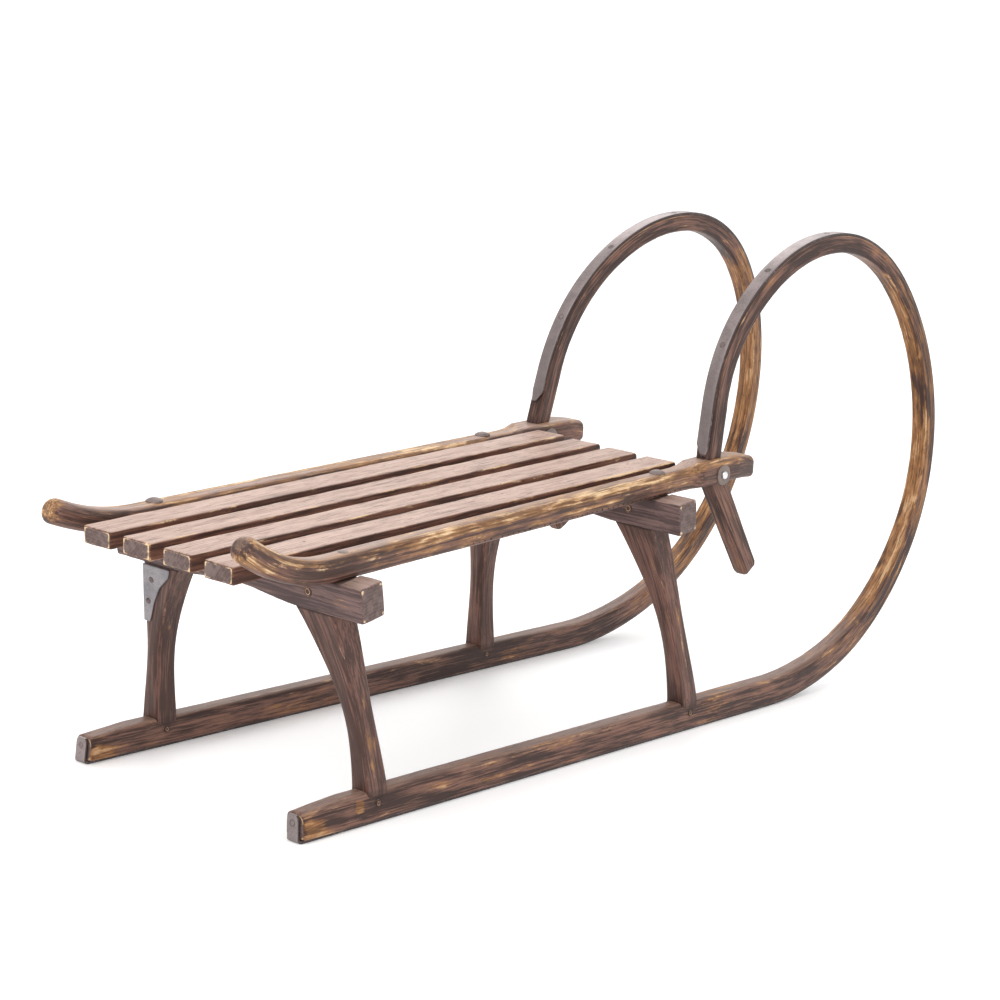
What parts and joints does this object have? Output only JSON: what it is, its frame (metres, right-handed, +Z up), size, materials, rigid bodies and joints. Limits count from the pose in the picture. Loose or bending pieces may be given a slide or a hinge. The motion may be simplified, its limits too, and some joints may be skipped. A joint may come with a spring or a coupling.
{
  "type": "wooden horn sledge",
  "caption": "Wooden horn sledge: two runners bent at the front into tall round horns, iron shoes, arched leg frames and a slatted seat between side rails.",
  "frame": {"origin": "middle of the bounding box at floor level", "axes": "+X forward to the horns, +Y to the rider's left, +Z up"},
  "size_m": [1.1895, 0.34, 0.5403],
  "materials": {
    "runner_wood": "worn, faded stain over bare wood",
    "leg_wood": "worn, faded stain over bare wood",
    "bar_wood": "worn, faded stain over bare wood",
    "peg_wood": "bare end grain",
    "slat_wood": "faded, dry, lightly scratched",
    "rail_wood": "stain rubbed through to pale wood",
    "shoe_iron": "dark, worn iron strip",
    "nail_iron": "dull dark iron",
    "screw_iron": "dull dark iron",
    "disc_iron": "dull grey iron",
    "rivet_steel": "bright"
  },
  "bodies": {
    "root": {"runner_left": "runner_wood", "runner_right": "runner_wood", "shoe_left": "shoe_iron", "shoe_right": "shoe_iron", "shoe_nails": "nail_iron", "leg_rear_left": "leg_wood", "leg_rear_right": "leg_wood", "leg_front_left": "leg_wood", "leg_front_right": "leg_wood", "leg_plate": "disc_iron", "leg_nails": "nail_iron", "crossbar_rear": "bar_wood", "crossbar_front": "bar_wood", "crossbar_pegs": "peg_wood", "runner_pegs": "peg_wood", "slat_1": "slat_wood", "slat_2": "slat_wood", "slat_3": "slat_wood", "slat_4": "slat_wood", "slat_nails": "nail_iron", "rail_left": "rail_wood", "rail_right": "rail_wood", "rail_screws": "screw_iron", "horn_rivets": "rivet_steel", "horn_discs": "disc_iron"}
  },
  "joints": []
}
